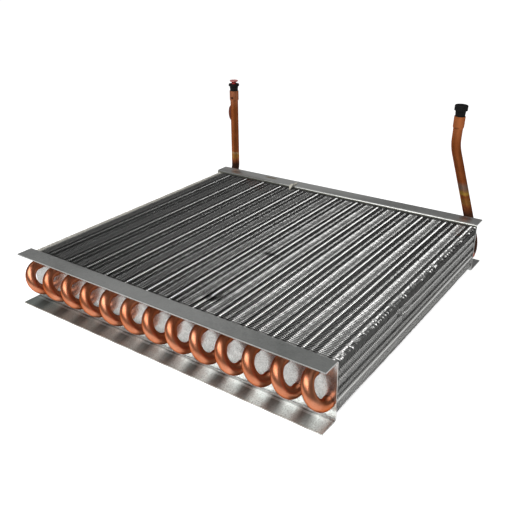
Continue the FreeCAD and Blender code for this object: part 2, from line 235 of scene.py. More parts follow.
steelLook = {
    "metallic": 0.85,
    "light": (0.7, 0.71, 0.69, 1),
    "dark": (0.33, 0.335, 0.33, 1),
    "patchScale": 28.0,
    "grainScale": 700.0,
    "contrast": 1.6,
    "spangleScale": 260.0,
    "shares": (0.5, 0.2, 0.45),  # of patches, spangles and grain in the shade
    "roughness": ((0.2, 0.9), (0.42, 0.32)),  # a range of the shade, and the roughness at its two ends
    "bump": {"Strength": 0.08, "Distance": 0.001},
    # Lines along the folds and edges: painted light and shade, and two darker lines along the front flanges'
    # outer edges
    "edgeLinesAndPaintedLight": [
        # Painted light: a bright strip on the front plate's face under the bends
        {"y": (-148.6, -147.5, 1.5), "z": (2.4, 8.5, 1.5), "colour": (1, 1, 0.98, 1), "strength": 0.9},
        # Painted shade: a dark line in the front bottom fold
        {"y": (-150.0, -148.7, 0.5), "z": (0.0, 2.2, 0.5), "colour": (0.06, 0.057, 0.05, 1), "strength": 0.5},
        # Painted highlight: a bright line on the flange beside that fold
        {"y": (-152.6, -150.9, 0.6), "z": (0.0, 2.2, 0.6), "colour": (1, 1, 0.98, 1), "strength": 0.3},
        {"y": (-166.5, -165.7, 0.4), "z": (-0.5, 2.2, 0.4), "colour": (0.25, 0.17, 0.11, 1), "strength": 0.5},
        {"y": (-164.5, -163.5, 0.3), "z": (49.0, 52.0, 0.3), "colour": (0.2, 0.2, 0.19, 1), "strength": 0.6},
        # Painted shade on the rear plate's inner face, where the fins' tops meet it
        {"y": (133.6, 135.0, 0.4), "z": (46.5, 50.3, 0.4), "colour": (0.2, 0.2, 0.15, 1), "strength": 0.8},
    ],
    "lineGrain": ((0.1, 0.6), (0.4, 1.0)),
    # Painted light on the front bottom flange: brighter towards the outlet's side, and where the shade is light
    "flange": {"y": (-167.0, -149.5, 1.0), "z": (-1.0, 1.6, 0.8), "reach": (-165, 60),
               "shade": ((0.0, 0.7), (0.45, 1.0)),
               "dull": (0.41, 0.46, 0.43, 1), "paintedFlangeLight": (0.93, 1.0, 0.98, 1)},
    # Painted shadows of the bends on that flange, one under each bend: where the first one's middle line leaves
    # the web, how it slants, how its darkness falls off to its sides and outwards from the web
    "paintedBendShadows": {"first": -149.8, "pitch": 26.7, "skew": 0.25, "sides": (3.2, 9.5), "root": -149.5,
                   "outwards": (2, 16), "strength": (0.9, 0.5), "colour": (0.035, 0.03, 0.026, 1)},
    # Spots on the plates: stains, broad lighter and darker patches, and painted light and shade
    "spotsAndPaintedLight": [
        # Broad lighter patches on the rear top flange
        {"centre": (-75, 150, 51.5), "reach": (130, 20, 2), "colour": (0.95, 0.96, 0.94, 1), "strength": 0.85,
         "raggedness": 0.25, "grain": 25.0},
        {"centre": (-20, 150, 51.5), "reach": (110, 20, 2), "colour": (0.95, 0.96, 0.94, 1), "strength": 0.45,
         "raggedness": 0.25, "grain": 25.0},
        # Painted shade and a painted highlight along the rear plate's top fold, bright towards the outlet's
        # side
        {"centre": (-115, 134.9, 51.3), "reach": (68, 1.6, 2), "colour": (0.16, 0.165, 0.16, 1),
         "strength": 0.6, "raggedness": 0.2, "grain": 25.0},
        {"centre": (60, 134.8, 51.0), "reach": (125, 1.0, 1.3), "colour": (1, 1, 0.98, 1), "strength": 0.9,
         "raggedness": 0.2, "grain": 25.0},
        # Stains on the rear top flange
        {"centre": (-90, 145.2, 51.5), "reach": (11, 2.8, 3), "colour": (0.42, 0.31, 0.18, 1), "strength": 0.8},
        {"centre": (-140, 141, 51.5), "reach": (10, 5, 3), "colour": (0.2, 0.13, 0.1, 1), "strength": 0.5},
        {"centre": (151, 145, 51.5), "reach": (8, 4, 3), "colour": (0.3, 0.16, 0.09, 1), "strength": 0.6},
        {"centre": (163.8, -162.5, 1.2), "reach": (2.6, 2.8, 3), "colour": (0.10, 0.055, 0.03, 1),
         "strength": 0.9},
        {"centre": (-95.4, -158.5, 51.5), "reach": (0.8, 1.0, 1), "colour": (0.95, 0.95, 0.93, 1)},
        {"centre": (123.6, -152.1, 51.5), "reach": (3.5, 0.8, 1), "colour": (0.3, 0.3, 0.29, 1),
         "strength": 0.6},
        # Broad lighter and darker patches on the front top flange
        {"centre": (0, -156, 51.5), "reach": (100, 20, 2), "colour": (0.95, 0.96, 0.94, 1), "strength": 0.3,
         "raggedness": 0.25, "grain": 25.0},
        {"centre": (150, -156, 51.5), "reach": (70, 20, 2), "colour": (0.2, 0.22, 0.21, 1), "strength": 0.3,
         "raggedness": 0.25, "grain": 25.0},
        # Painted reflection of the last bend's copper on the front plate's face near its end
        {"centre": (163, -147.5, 22), "reach": (9, 3, 30), "colour": (0.3, 0.15, 0.08, 1), "strength": 0.35},
    ],
    # The front plate's face is smoother, and mirrors the bends
    "web": {"y": (-149.0, -148.0, 0.3), "z": (3.0, 48.0, 1.0), "smoother": 0.14},
    # Dark specks on the front plate's face, seen through the bends. Noise is its scale, detail and roughness
    "specks": {"noise": (850.0, 4.0, 0.7), "reach": (0.5, 0.68), "strength": 0.7,
               "colour": (0.16, 0.16, 0.15, 1), "y": (-166.5, -146.5, 0.3), "z": (-0.5, 47.0, 3.0)},
}

galvanised, tree, shader = newMaterial("galvanised_steel", {"Metallic": steelLook["metallic"]})
place = objectPlace(tree)
axes = axesOf(tree, place)
worn = wear(tree, place, steelLook)
spangles = addNode(tree, "ShaderNodeTexVoronoi")
spangles.inputs["Scale"].default_value = steelLook["spangleScale"]
tree.links.new(place, spangles.inputs["Vector"])
spangleShade = addNode(tree, "ShaderNodeSeparateColor")
tree.links.new(spangles.outputs["Color"], spangleShade.inputs[0])
patchShare, spangleShare, grainShare = steelLook["shares"]
shade = product(tree, worn["Patches"], patchShare)
shade = addShare(tree, shade, spangleShade.outputs[0], spangleShare)
shade = addShare(tree, shade, worn["Grain"], grainShare, clamp=True)
steelColour = mixColours(tree, shade, steelLook["dark"], steelLook["light"])
# Stains, broad patches, and painted light and shade on the plates
for steelSpot in steelLook["spotsAndPaintedLight"]:
    steelColour = mixColours(tree, addRaggedSpot(tree, place, steelSpot), steelColour, steelSpot["colour"])

# Painted light on the front bottom flange, brighter towards the outlet's side
flange = steelLook["flange"]
onFlange = region(tree, axes, flange)
paintedFlangeLight = mixColours(tree, rampAlong(tree, axes[0], flange["reach"]), flange["dull"], flange["paintedFlangeLight"])
mask = product(tree, onFlange, ramp(tree, shade, *flange["shade"]))
steelColour = mixColours(tree, mask, steelColour, paintedFlangeLight)

# Painted shadows of the bends on the bottom flange, one to a bend
under = steelLook["paintedBendShadows"]
outwards = maths(tree, "SUBTRACT", under["root"] / 1000, axes[1])
along = maths(tree, "SUBTRACT", axes[0], product(tree, outwards, under["skew"]))
repeat = maths(tree, "DIVIDE", maths(tree, "SUBTRACT", along, under["first"] / 1000), under["pitch"] / 1000)
offCentre = maths(tree, "ABSOLUTE", maths(tree, "SUBTRACT", repeat, maths(tree, "ROUND", repeat)))
bendShadow = ramp(tree, product(tree, offCentre, under["pitch"]), under["sides"], (1.0, 0.0))
mask = product(tree, bendShadow, onFlange, rampAlong(tree, outwards, under["outwards"], under["strength"]))
steelColour = mixColours(tree, mask, steelColour, under["colour"])

lineGrain = ramp(tree, worn["Grain"], *steelLook["lineGrain"])
# Lines along the folds and edges, most of them painted light and shade
for line in steelLook["edgeLinesAndPaintedLight"]:
    mask = product(tree, line["strength"], region(tree, axes, line), lineGrain)
    steelColour = mixColours(tree, mask, steelColour, line["colour"])
specks = steelLook["specks"]
dots = ramp(tree, noiseOf(tree, place, *specks["noise"]), specks["reach"], (0.0, specks["strength"]))
steelColour = mixColours(tree, product(tree, region(tree, axes, specks), dots), steelColour, specks["colour"])
tree.links.new(steelColour, shader.inputs["Base Color"])

web = steelLook["web"]
smoother = product(tree, region(tree, axes, web), web["smoother"])
roughness = maths(tree, "SUBTRACT", ramp(tree, shade, *steelLook["roughness"]), smoother)
tree.links.new(roughness, shader.inputs["Roughness"])
bump = addNode(tree, "ShaderNodeBump")
for title, value in steelLook["bump"].items():
    bump.inputs[title].default_value = value
tree.links.new(shade, bump.inputs["Height"])
tree.links.new(bump.outputs[0], shader.inputs["Normal"])

copperLook = {
    "metallic": 1.0,
    "edge": (0.5, 0.16, 0.04, 1),
    "bright": (0.78, 0.355, 0.22, 1),
    "dull": (0.4, 0.085, 0.015, 1),
    "patchScale": 55.0,
    "grainScale": 1500.0,
    "contrast": 1.8,
    "shares": (0.75, 0.25),  # of patches and grain in the mottling
    "mottled": (0.2, 0.85),  # the range of the mottling over which the roughness changes
    "roughness": (0.4, 0.28),
    "freckles": {"noise": (420.0, 3.0, 0.55), "reach": (0.64, 0.74), "strength": 0.6,
                 "colour": (0.2, 0.06, 0.02, 1)},
    "waver": (260.0, 2.0, 0.55),
}


# Heat bands lie across a riser: heights where one begins and is full, and where it weakens and is gone
def copperFinish(name, look):
    material, tree, shader = newMaterial(name, {"Metallic": look["metallic"], "Specular Tint": look["edge"]})
    place = objectPlace(tree)
    worn = wear(tree, place, look)
    patchShare, grainShare = look["shares"]
    mottled = addShare(tree, product(tree, worn["Patches"], patchShare), worn["Grain"], grainShare)
    colour = mixColours(tree, mottled, look["dull"], look["bright"])
    freckles = look["freckles"]
    dots = ramp(tree, noiseOf(tree, place, *freckles["noise"]), freckles["reach"], (0.0, freckles["strength"]))
    colour = mixColours(tree, dots, colour, freckles["colour"])
    if "heat" in look:
        wavering = centred(tree, noiseOf(tree, place, *look["waver"]))
        height = addShare(tree, axesOf(tree, place)[2], wavering, look["heatWaver"] / 1000)
        for band in look["heat"]:
            rise = rampAlong(tree, height, band["rise"], (0.0, band["strength"]))
            fall = rampAlong(tree, height, band["fall"], (1.0, 0.0))
            colour = mixColours(tree, product(tree, rise, fall), colour, band["colour"])
    for spot in look.get("spots", []):
        colour = mixColours(tree, addRaggedSpot(tree, place, spot), colour, spot["colour"])
    tree.links.new(colour, shader.inputs["Base Color"])
    tree.links.new(ramp(tree, mottled, look["mottled"], look["roughness"]), shader.inputs["Roughness"])
    return material


bendCopper = copperFinish("bend_copper", copperLook)

riserLook = dict(
    copperLook, metallic=0.65, bright=(0.44, 0.13, 0.04, 1), dull=(0.25, 0.065, 0.018, 1),
    roughness=(0.52, 0.4), patchScale=90.0,
)
inletCopper = copperFinish("inlet_copper", dict(
    riserLook, heatWaver=5,
    heat=[
        {"rise": (-1, 0), "fall": (55, 63), "strength": 1.0, "colour": (0.045, 0.022, 0.015, 1)},
        {"rise": (61, 64), "fall": (67.5, 69.5), "strength": 0.9, "colour": (0.42, 0.2, 0.045, 1)},
        {"rise": (68, 69), "fall": (70, 71), "strength": 0.8, "colour": (0.5, 0.36, 0.18, 1)},
        {"rise": (126, 142), "fall": (160, 161), "strength": 0.5, "colour": (0.55, 0.23, 0.13, 1)},
    ],
    spots=[
        # Painted shade where the bell has a dimple
        {"centre": (-155.4, 156.1, 139.4), "reach": (2.2, 2.2, 1.8), "colour": (0.02, 0.01, 0.008, 1),
         "raggedness": 0.1, "grain": 900.0},
    ],
))
outletCopper = copperFinish("outlet_copper", dict(
    riserLook, heatWaver=4,
    heat=[
        {"rise": (-1, 0), "fall": (53, 64), "strength": 0.9, "colour": (0.06, 0.028, 0.018, 1)},
        {"rise": (61, 63), "fall": (67, 70), "strength": 0.5, "colour": (0.34, 0.2, 0.05, 1)},
        {"rise": (71, 73), "fall": (74.5, 78), "strength": 0.8, "colour": (0.55, 0.35, 0.07, 1)},
        {"rise": (75, 79), "fall": (82, 86), "strength": 0.7, "colour": (0.24, 0.2, 0.16, 1)},
        {"rise": (124, 142), "fall": (160, 161), "strength": 0.65, "colour": (0.66, 0.22, 0.08, 1)},
    ],
))


# Two shades in patches. Some have a rim painted lighter too, where light comes through, or a roughness that
# follows the patches
def patchyFinish(name, look):
    material, tree, shader = newMaterial(name, look["shader"])
    place = objectPlace(tree)
    patches = wear(tree, place, look)["Patches"]
    colour = mixColours(tree, patches, look["dark"], look["light"])
    if "rim" in look:
        rim = look["rim"]
        # Painted light at the rim, where light comes through
        paintedRimLight = rampAlong(tree, axesOf(tree, place)[2], rim["z"], (0.0, rim["strength"]))
        colour = mixColours(tree, paintedRimLight, colour, rim["colour"])
    tree.links.new(colour, shader.inputs["Base Color"])
    if "roughness" in look:
        tree.links.new(ramp(tree, patches, *look["roughness"]), shader.inputs["Roughness"])
    return material


rubberLook = {
    "shader": {"Roughness": 0.6, "Specular IOR Level": 0.12},
    "patchScale": 120.0, "grainScale": 2500.0, "contrast": 1.5,
    "dark": (0.006, 0.006, 0.006, 1), "light": (0.018, 0.018, 0.017, 1),
}
capLook = {
    "shader": {"Roughness": 0.38},
    "patchScale": 200.0, "grainScale": 2500.0, "contrast": 1.5,
    "dark": (0.42, 0.025, 0.02, 1), "light": (0.5, 0.045, 0.035, 1),
    # Thin moulded rim at the top, painted lighter where light comes through
    "rim": {"z": (158.6, 159.8), "strength": 0.6, "colour": (0.8, 0.4, 0.38, 1)},
}
brazeLook = {
    "shader": {"Metallic": 1.0},
    "patchScale": 300.0, "grainScale": 2500.0, "contrast": 2.0,
    "dark": (0.16, 0.11, 0.08, 1), "light": (0.5, 0.45, 0.38, 1),
    "roughness": ((0.2, 0.8), (0.55, 0.35)),
}
rubber = patchyFinish("plug_rubber", rubberLook)
redPlastic = patchyFinish("red_cap", capLook)
brazeAlloy = patchyFinish("braze_alloy", brazeLook)

collarLook = {"Metallic": 0.3, "Roughness": 0.4, "Base Color": (0.66, 0.66, 0.65, 1)}
collarAluminium = newMaterial("collar_aluminium", collarLook)[0]

finLook = {
    "metallic": 0.97,
    "light": (0.72, 0.72, 0.705, 1),
    "dark": (0.54, 0.54, 0.53, 1),
    "patchScale": 60.0,
    "grainScale": 1200.0,
    "contrast": 1.5,
    "paintedLightAlongX": ((-165, 110), (0.0, 0.85)),  # painted light along X, from where the sheet is painted darkest to where it is brightest
    "patchShare": 0.15,
    "roughness": ((0.2, 0.8), (0.2, 0.23)),  # a range of the grain, and the roughness at its two ends
    # Painted shade deep between the fins: the inner part along X and Z, and its colour
    "paintedGapShade": {"x": (-163.2, 163.3, 0.5), "z": (6.0, 47.9, 0.5), "colour": (0.13, 0.13, 0.125, 1)},
    # Painted shade under the ripples of the two ends: distance from the middle, and heights
    "paintedRippleShade": {"from": (161.5, 162.5), "fade": 0.9, "colour": (0.12, 0.12, 0.115, 1), "strength": 0.55,
                     "z": ((3.0, 9.0), (17.2, 20.4), (24.0, 27.0), (33.6, 36.6), (42.0, 48.0))},
    # Pale dusty corners at the inlet's side, in spikes that follow the fins
    "dusty": {"x": (-161.0, -156.0), "z": (46.5, 47.5), "colour": (0.6, 0.58, 0.52, 1), "metallic": 0.35,
              "stretch": (0.25, 1.0, 0.25), "noise": (700.0, 2.0, 0.55), "ragged": (0.3, 0.9)},
    # Dull haze towards the front plate's outlet end: along X and Y, and how much it takes off the metal
    "haze": {"x": (30, 150), "y": (60, -120), "strength": 0.2},
    # The crushed edge at the outlet's side is rougher
    "roughEdge": {"x": (157.5, 159.0), "z": (43.0, 45.0), "more": 0.12},
    # Marks on the fin tops: two dark patches, the second painted shade over the knocked fins there, and painted
    # glints in white
    "marks": [
        {"centre": (28, -30, 49), "reach": (10, 4.5, 3), "colour": (0.05, 0.05, 0.05, 1), "strength": 0.8},
        {"centre": (36, -124, 49), "reach": (9, 5, 3), "colour": (0.08, 0.08, 0.08, 1), "strength": 0.6},
        {"centre": (74.5, -136.4, 49), "reach": (5.2, 0.8, 2), "colour": (1, 1, 0.98, 1), "raggedness": 0.2},
        {"centre": (-100.8, 70.6, 49), "reach": (1.6, 1.2, 2), "colour": (1, 1, 0.98, 1), "raggedness": 0.2},
        {"centre": (28.9, 70.3, 49), "reach": (1.6, 1.2, 2), "colour": (1, 1, 0.98, 1), "raggedness": 0.2},
    ],
}

finAluminium, tree, shader = newMaterial("fin_aluminium", {"Metallic": finLook["metallic"]})
place = objectPlace(tree)
axes = axesOf(tree, place)
worn = wear(tree, place, finLook)
# Painted light along X, brighter towards the outlet's side, with some patches
paintedLightAlongX = addShare(tree, rampAlong(tree, axes[0], *finLook["paintedLightAlongX"]), worn["Patches"], finLook["patchShare"])
finColour = mixColours(tree, paintedLightAlongX, finLook["dark"], finLook["light"])
# Painted shade deep between the fins
paintedGapShade = finLook["paintedGapShade"]
finColour = mixColours(tree, region(tree, axes, paintedGapShade), finColour, paintedGapShade["colour"])

# Painted shade in bands under the ripples at the fins' two ends
under = finLook["paintedRippleShade"]
fromMiddle = maths(tree, "ABSOLUTE", axes[0])
nearEnds = rampAlong(tree, fromMiddle, under["from"], (0.0, under["strength"]))
for heights in under["z"]:
    mask = product(tree, nearEnds, between(tree, axes[2], *heights, under["fade"]))
    finColour = mixColours(tree, mask, finColour, under["colour"])

dusty = finLook["dusty"]
stretched = addNode(tree, "ShaderNodeMapping")
stretched.inputs["Scale"].default_value = dusty["stretch"]
tree.links.new(place, stretched.inputs["Vector"])
spikes = centred(tree, noiseOf(tree, stretched.outputs[0], *dusty["noise"]))
spiked = maths(tree, "ADD", rampAlong(tree, axes[0], dusty["x"], (1.0, 0.0)), spikes)
dust = product(tree, ramp(tree, spiked, dusty["ragged"]), rampAlong(tree, axes[2], dusty["z"]))
finColour = mixColours(tree, dust, finColour, dusty["colour"])
# Marks on the fin tops, with painted shade and painted glints among them
for mark in finLook["marks"]:
    finColour = mixColours(tree, addRaggedSpot(tree, place, mark), finColour, mark["colour"])
tree.links.new(finColour, shader.inputs["Base Color"])

haze = finLook["haze"]
hazy = product(tree, rampAlong(tree, axes[0], haze["x"]),
               rampAlong(tree, axes[1], haze["y"], (0.0, haze["strength"])))
metallic = ramp(tree, dust, (0.0, 1.0), (finLook["metallic"], dusty["metallic"]))
tree.links.new(maths(tree, "SUBTRACT", metallic, hazy), shader.inputs["Metallic"])
roughEdge = finLook["roughEdge"]
rougher = product(tree, rampAlong(tree, axes[0], roughEdge["x"]),
                  rampAlong(tree, axes[2], roughEdge["z"], (0.0, roughEdge["more"])))
roughness = maths(tree, "ADD", rougher, ramp(tree, worn["Grain"], *finLook["roughness"]))
tree.links.new(roughness, shader.inputs["Roughness"])

finishes = {
    "front_end_plate": galvanised, "rear_end_plate": galvanised, "fin_pack": finAluminium,
    "inlet_riser": inletCopper, "outlet_riser": outletCopper,
    "inlet_plug": rubber, "outlet_plug": rubber, "inlet_cap": redPlastic,
}
for name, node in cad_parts.items():
    for slot in node.material_slots:
        slot.material = finishes.get(name, bendCopper)
print("finishes ready")

finBox = [corner * 1000 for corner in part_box("fin_pack")]
fins = {
    "count": 137,
    "pitch": 2.06,
    "gauge": 0.12,
    "pieces": 4,
    "seed": 7,
    "firstTube": -157.65,
    "tubePitch": 25.4,
    "tubesPerRow": 13,
    "rows": ((0.0, 37.1), (12.7, 15.1)),  # shift along X and height of each row of tubes
    "holeRadius": 4.95,
    "holeSides": 8,
    "insideHole": 0.9,  # a triangle whose middle is nearer to a hole's, as a share of the radius, is cut out
    "smallestTurn": 1e-6,
    "weld": 0.01,
    # The ripples' own line is 0.4 mm short of an upper tube's axis. Each ripple has its section, as the
    # distance from that line and the lean of the top edge away from the front plate, and its strength along X
    "waveStart": -0.4,
    "restLean": -0.25,
    "ripples": {
        "sharp": {
            "section": ((-12.8, 0.0), (-12.6, 0.45), (-11.0, 0.66), (-10.7, 0.05), (-8.2, 0.0)),
            "strength": ((-165, 1.0), (-20, 1.0), (36, 0.94), (112, 0.87), (165, 0.86)),
        },
        "pair": {
            "section": (
                (-6.4, 0.0), (-6.0, 0.38), (-4.2, 0.6), (-3.8, 0.05), (-2.2, 0.0), (4.6, 0.0), (4.9, 0.52),
                (6.8, 0.53), (7.1, 0.54), (8.6, 0.6), (9.0, 0.05), (11.1, 0.0),
            ),
            "strength": ((-165, 0.79), (-116, 0.8), (-40, 0.82), (36, 0.84), (112, 0.835), (165, 0.83)),
        },
        "broad": {
            "section": ((-0.4, 0.0), (0.0, 0.4), (0.9, 0.68), (2.2, 0.65), (4.6, 0.54), (4.9, 0.0)),
            "strength": ((-165, 0.64), (-104, 0.68), (-28, 0.72), (49, 0.755), (165, 0.755)),
        },
    },
    "crimp": (1.32, 1.0),  # the ripples' strength at the front plate and at the rear one
    "topWaveDepth": 0.6,
    "edgeBevel": 0.045,
    # Height, and how far the sheet leans back from the front plate along its two ends
    "endWave": (
        (5.0, 0.4), (9.5, -0.85), (16.0, 1.0), (18.8, -0.15), (20.6, -0.1), (22.8, 1.0), (23.3, 0.5),
        (27.4, -0.95), (32.0, 1.0), (36.8, -0.7), (40.4, 0.85), (44.2, -0.3), (49.0, -0.5),
    ),
    "endWaveDepth": 2.4,
    "crossing": {"ripples": 0.5, "endWave": 0.6},  # how much each of the two loses where they meet in a corner
    "swell": (0.45, 0.3),  # share of the ripples that the first fin has, and what each next one has more
    "cornerCut": 1.2,
    "cornerGap": 0.3,  # from a cut corner to the next knot of the outline
    "innerGap": (0.2, 0.5),  # the same for the runs inside it, along X and Z
    "bottomKnots": {"inset": 2, "spans": 64},
    # The bent top corners at the inlet's side: along X, how far they lean back, and how unevenly
    "fringe": {"x": (-165, -161.1, -160.6), "lean": (0.3, 0.75, 0.0), "uneven": 0.5},
    "unevenPitch": 0.02,
    "unevenRipple": 0.02,
    # Noise is its grain along X, its step from one fin to the next, and its grain or place along Z
    "unevenEdge": {"shift": 0.01, "depth": 6, "noise": (9, 3.7, 30)},
    # The crushed top edge at the outlet's side: its start, how far along X from there and below the top it is
    # full, and its shift; then the lean of the edge, which fades towards the rear plate
    "crushed": {"from": 157.6, "step": 0.65, "along": 4, "below": (4, 1), "shift": 0.6,
                "noise": (0.9, 5.3, 2.0), "lean": (0.05, 0.7), "leanAlong": 1.5, "leanEnd": (-1, 1),
                "leanShares": (1.0, 0.5)},
    # The bottom edge near the outlet's side: along Y, and how far it hangs down
    "bottomHang": ((-146, 0.0), (-130, -0.7), (-105, -0.5), (-85, 0.9), (-20, 1.3), (60, 1.2), (134, 0.8)),
    "hangFrom": (120, 140),
    "hangDepth": 1.0,
    "bottomRagged": 0.5,
    # Knocks: centre, reach and push, each along X, Y and Z
    "dents": (
        ((36, -124, 49), (8, 5, 4), (0.3, 0.8, -0.6)),
        ((165.4, -20, 35.5), (4, 3.2, 5.5), (-1.1, 0.8, 0.0)),
        ((165.4, -35, 34), (4, 3.0, 6.5), (-1.2, -0.7, 0.0)),
        ((165.4, -48, 40), (5, 2.6, 7), (-0.9, 0.7, -0.2)),
        ((160, -60, 49), (9, 16, 3), (-0.3, 0.7, -0.4)),
    ),
    "dentStrength": (0.1, 1.7),
}


def finOutline():
    low, high = finBox
    left, right, bottom, top = low.x, high.x, low.z, high.z
    cut, gap = fins["cornerCut"], fins["cornerGap"]
    points, edges = [], []

    def addRun(run, closed=False):
        first = len(points)
        points.extend(Vector(p) for p in run)
        edges.extend((first + i, first + i + 1) for i in range(len(run) - 1))
        if closed:
            edges.append((len(points) - 1, first))

    rippleKnots = sorted({s for ripple in fins["ripples"].values() for s, _ in ripple["section"]})
    knots = list(fins["fringe"]["x"][1:])
    for tube in range(-1, fins["tubesPerRow"] + 1):
        start = fins["firstTube"] + fins["waveStart"] + tube * fins["tubePitch"]
        knots += [start + s for s in rippleKnots]
    crushed = fins["crushed"]
    knots += np.arange(crushed["from"], right - cut - gap, crushed["step"]).tolist()
    topKnots = [x for x in sorted(knots) if left + cut + gap < x < right - cut - gap]
    inset, spans = fins["bottomKnots"]["inset"], fins["bottomKnots"]["spans"]
    bottomKnots = np.linspace(left + cut + inset, right - cut - inset, spans + 1).tolist()
    endKnots = [z for z, _ in fins["endWave"] if bottom + cut < z < top - cut]
    rim = [(x, top) for x in [left + cut] + topKnots + [right - cut]]
    rim += [(right, z) for z in [top - cut] + endKnots[::-1] + [bottom + cut]]
    rim += [(x, bottom) for x in [right - cut] + bottomKnots[::-1] + [left + cut]]
    rim += [(left, z) for z in [bottom + cut] + endKnots + [top - cut]]
    addRun(rim, closed=True)

    # Runs inside the rim, where the waves of the edges end
    across, depth = fins["endWaveDepth"], fins["topWaveDepth"]
    gapX, gapZ = fins["innerGap"]
    inner = [x for x in topKnots if left + across + gapX < x < right - across - gapX]
    addRun([(x, top - depth) for x in [left + across] + inner + [right - across]])
    addRun([(x, bottom + depth) for x in bottomKnots])
    for x in (left + across, right - across):
        addRun([(x, z) for z in endKnots if bottom + depth + gapZ < z < top - depth - gapZ])
    holes = []
    radius, sides = fins["holeRadius"], fins["holeSides"]
    for shift, height in fins["rows"]:
        for tube in range(fins["tubesPerRow"]):
            axis = fins["firstTube"] + shift + tube * fins["tubePitch"]
            holes.append(Vector((axis, height)))
            turns = [math.pi / sides + i * 2 * math.pi / sides for i in range(sides)]
            addRun([(axis + radius * math.cos(turn), height + radius * math.sin(turn)) for turn in turns],
                   closed=True)
    return points, edges, holes


def finTemplate():
    points, edges, holes = finOutline()
    flat, _, triangles, *_ = geometry.delaunay_2d_cdt(points, edges, [], 0, fins["weld"])
    kept = []
    for face in triangles:
        middle = sum((flat[i] for i in face), Vector((0, 0))) / 3
        if all((middle - hole).length > fins["holeRadius"] * fins["insideHole"] for hole in holes):
            a, b, c = (flat[i] for i in face)
            turn = (b - a).cross(c - a)
            if abs(turn) > fins["smallestTurn"]:
                kept.append(tuple(face) if turn > 0 else tuple(reversed(face)))
    used = sorted({i for face in kept for i in face})
    renumber = {old: new for new, old in enumerate(used)}
    kept = [tuple(renumber[i] for i in face) for face in kept]
    flat = np.array([flat[i] for i in used])
    edges = dict.fromkeys((face[i], face[(i + 1) % 3]) for face in kept for i in range(3))
    rim = [(a, b) for a, b in edges if (b, a) not in edges]
    return flat, kept, rim


def fadeIn(values, start, end):
    return np.clip((values - start) / (end - start), 0, 1)


def noiseAt(places):
    return np.array([noise.noise(Vector(place)) for place in places])


def finShifts(flat):
    # How far each point of a fin stands back from its plane, from the ripples and from its lean and end waves
    low, high = finBox
    x, z = flat[:, 0], flat[:, 1]
    pitch = fins["tubePitch"]
    s = (x - fins["firstTube"] - fins["waveStart"] + pitch / 2) % pitch - pitch / 2
    raised = sum(
        np.interp(s, *zip(*ripple["section"])) * np.interp(x, *zip(*ripple["strength"]))
        for ripple in fins["ripples"].values()
    )
    raised = raised + np.interp(x, fins["fringe"]["x"], fins["fringe"]["lean"])
    depth = fins["topWaveDepth"]
    nearTop = fadeIn(z, high.z - depth, high.z)
    nearBottom = fadeIn(z, low.z + depth, low.z)
    nearEnd = fadeIn(np.minimum(x - low.x, high.x - x), fins["endWaveDepth"], 0)
    wave = np.interp(z, *zip(*fins["endWave"]))
    crossing = fins["crossing"]
    share = (nearTop + nearBottom) * (1 - nearEnd * crossing["ripples"])
    return share * raised, share * fins["restLean"] + nearEnd * wave * (1 - crossing["endWave"] * nearTop)


